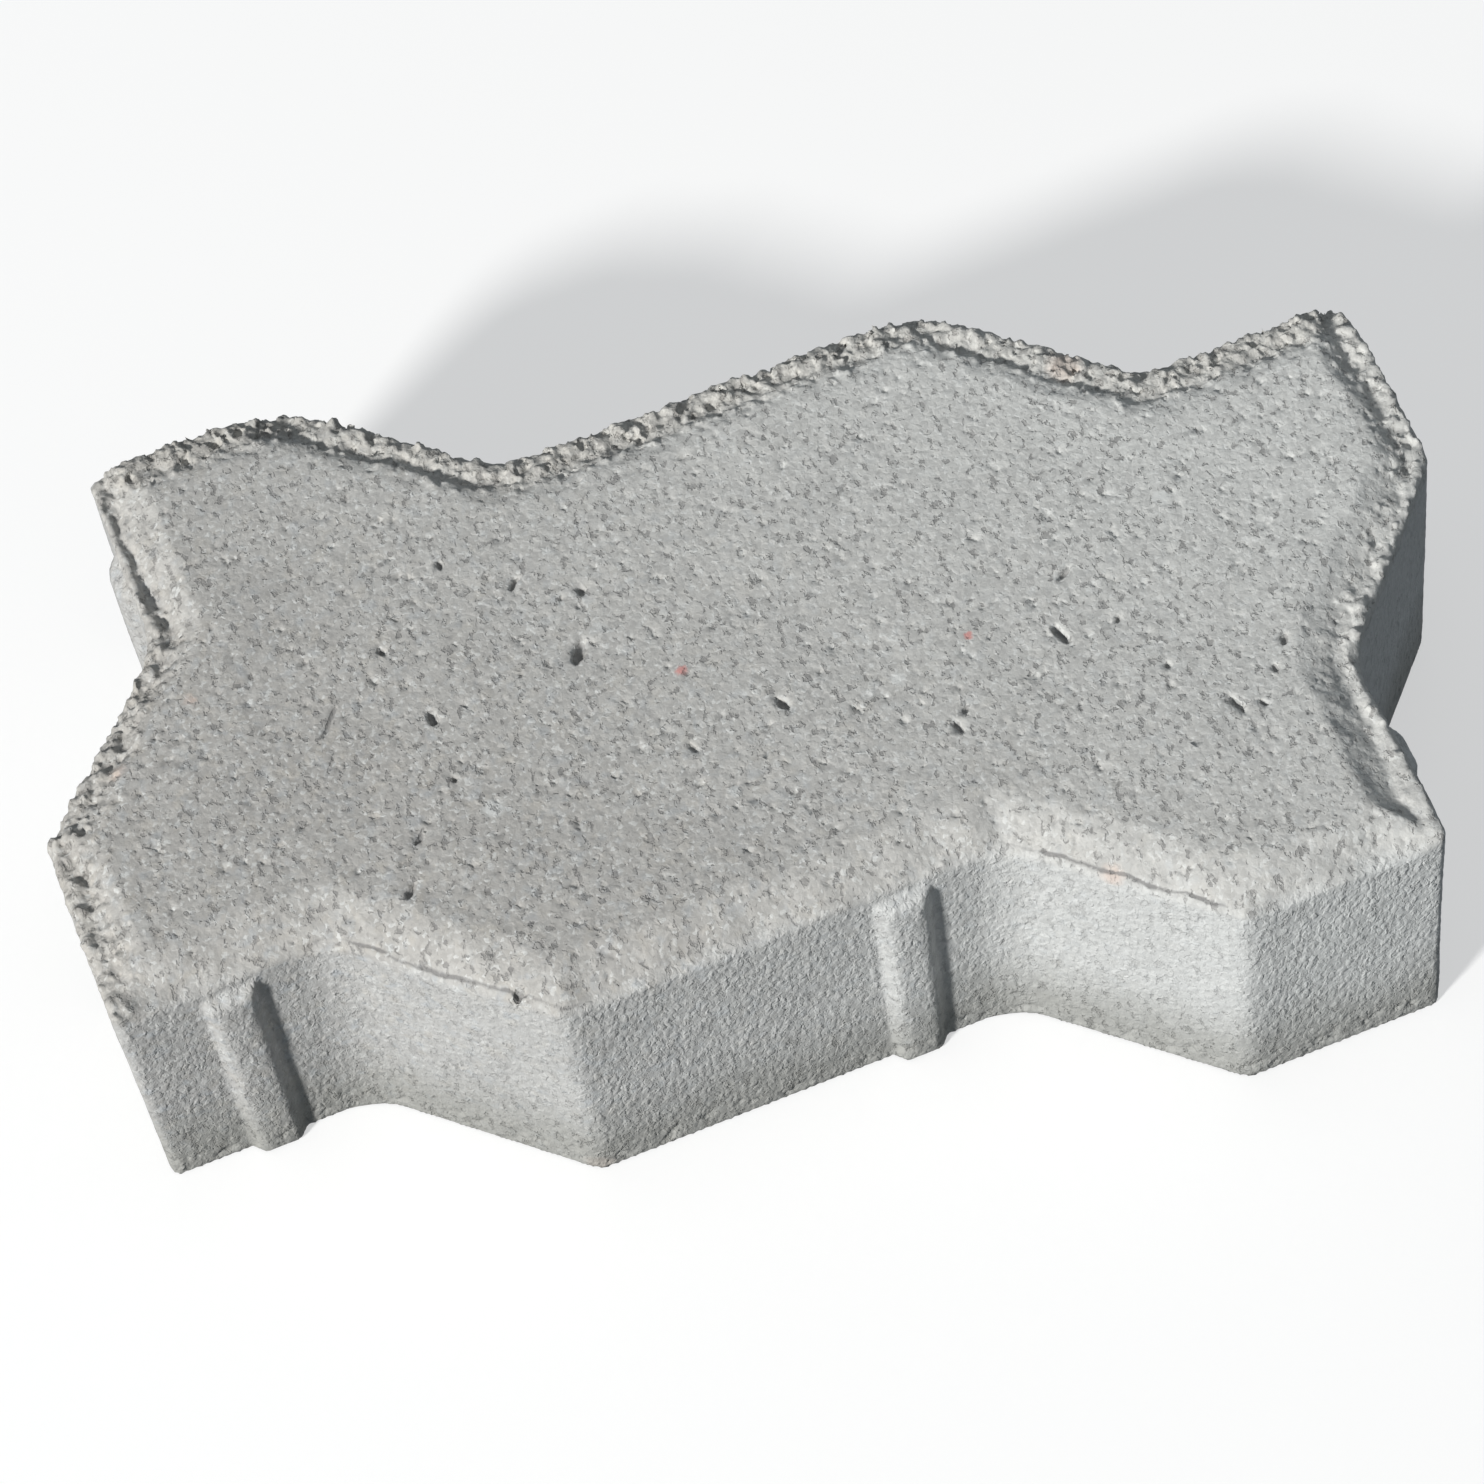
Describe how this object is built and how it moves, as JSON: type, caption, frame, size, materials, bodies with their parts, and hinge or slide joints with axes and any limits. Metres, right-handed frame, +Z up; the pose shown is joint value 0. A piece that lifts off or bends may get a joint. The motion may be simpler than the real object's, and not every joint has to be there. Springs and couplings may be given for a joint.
{
  "type": "zigzag interlocking concrete paving stone",
  "caption": "Cast concrete paving block with zigzag sides, a chamfered top edge inside a raised burr, and upright spacer ribs.",
  "frame": {"origin": "middle of the flat bed face that the stone lies on", "axes": "+X along the stone's length, +Y across it, +Z up out of the top face"},
  "size_m": [0.2406, 0.128, 0.06],
  "materials": {
    "concrete": "rough dry-cast concrete"
  },
  "bodies": {
    "root": {"paving_stone": "concrete"}
  },
  "joints": []
}
